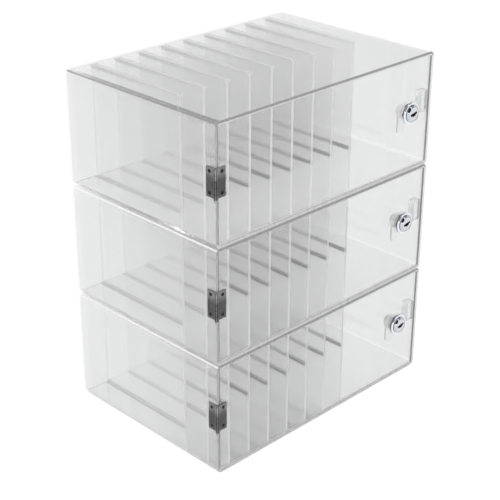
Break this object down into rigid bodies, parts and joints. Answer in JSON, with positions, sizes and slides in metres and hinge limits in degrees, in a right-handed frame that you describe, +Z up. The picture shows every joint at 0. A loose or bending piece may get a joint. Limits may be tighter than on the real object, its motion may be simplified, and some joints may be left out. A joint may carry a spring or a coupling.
{
  "type": "phone locker box",
  "caption": "Stack of clear acrylic lock boxes with upright phone slots; each box has a clear door on a small side hinge and a cam lock.",
  "frame": {"origin": "middle of the flat underside of the bottom box's shell, on the surface it stands on", "axes": "+Z up, the doors and locks face -Y, the hinges are at the -X side"},
  "size_m": [0.2954, 0.2063, 0.351],
  "materials": {
    "clear_acrylic": "clear, polished sheet with bright cut edges",
    "divider_acrylic": "clear, slightly grey panel with bright cut edges",
    "keeper_acrylic": "greenish clear block",
    "hinge_metal": "dark brushed metal",
    "pin_metal": "bare metal",
    "screw_metal": "blackened",
    "lock_chrome": "polished chrome",
    "plug_chrome": "satin chrome face with a dark keyway",
    "zinc": "zinc plated"
  },
  "bodies": {
    "cabinet": {"shell_bottom": "clear_acrylic", "back_panel_bottom": "clear_acrylic", "dividers_bottom": "divider_acrylic", "keeper_bottom": "keeper_acrylic", "wall_leaf_bottom": "hinge_metal", "hinge_pin_bottom": "pin_metal", "wall_leaf_screws_bottom": "screw_metal", "shell_middle": "clear_acrylic", "back_panel_middle": "clear_acrylic", "dividers_middle": "divider_acrylic", "keeper_middle": "keeper_acrylic", "wall_leaf_middle": "hinge_metal", "hinge_pin_middle": "pin_metal", "wall_leaf_screws_middle": "screw_metal", "shell_top": "clear_acrylic", "back_panel_top": "clear_acrylic", "dividers_top": "divider_acrylic", "keeper_top": "keeper_acrylic", "wall_leaf_top": "hinge_metal", "hinge_pin_top": "pin_metal", "wall_leaf_screws_top": "screw_metal"},
    "door_bottom": {"door_bottom": "clear_acrylic", "door_leaf_bottom": "hinge_metal", "door_leaf_screws_bottom": "screw_metal", "lock_body_bottom": "lock_chrome", "lock_nut_bottom": "zinc"},
    "lock_bottom": {"lock_plug_bottom": "plug_chrome", "lock_cam_bottom": "zinc", "cam_screw_bottom": "zinc"},
    "door_middle": {"door_middle": "clear_acrylic", "door_leaf_middle": "hinge_metal", "door_leaf_screws_middle": "screw_metal", "lock_body_middle": "lock_chrome", "lock_nut_middle": "zinc"},
    "lock_middle": {"lock_plug_middle": "plug_chrome", "lock_cam_middle": "zinc", "cam_screw_middle": "zinc"},
    "door_top": {"door_top": "clear_acrylic", "door_leaf_top": "hinge_metal", "door_leaf_screws_top": "screw_metal", "lock_body_top": "lock_chrome", "lock_nut_top": "zinc"},
    "lock_top": {"lock_plug_top": "plug_chrome", "lock_cam_top": "zinc", "cam_screw_top": "zinc"}
  },
  "joints": [
    {"name": "door_swing_bottom", "type": "hinge", "parent": "cabinet", "child": "door_bottom", "pos_m": [-0.1476, -0.1029, 0.0625], "axis": [0, 0, -1], "range_deg": [0, 250]},
    {"name": "door_swing_middle", "type": "hinge", "parent": "cabinet", "child": "door_middle", "pos_m": [-0.1476, -0.1029, 0.1795], "axis": [0, 0, -1], "range_deg": [0, 250]},
    {"name": "door_swing_top", "type": "hinge", "parent": "cabinet", "child": "door_top", "pos_m": [-0.1476, -0.1029, 0.2965], "axis": [0, 0, -1], "range_deg": [0, 250]},
    {"name": "lock_turn_bottom", "type": "hinge", "parent": "door_bottom", "child": "lock_bottom", "pos_m": [0.115, -0.1013, 0.0605], "axis": [0, -1, 0], "range_deg": [0, 90]},
    {"name": "lock_turn_middle", "type": "hinge", "parent": "door_middle", "child": "lock_middle", "pos_m": [0.115, -0.1013, 0.1775], "axis": [0, -1, 0], "range_deg": [0, 90]},
    {"name": "lock_turn_top", "type": "hinge", "parent": "door_top", "child": "lock_top", "pos_m": [0.115, -0.1013, 0.2945], "axis": [0, -1, 0], "range_deg": [0, 90]}
  ]
}
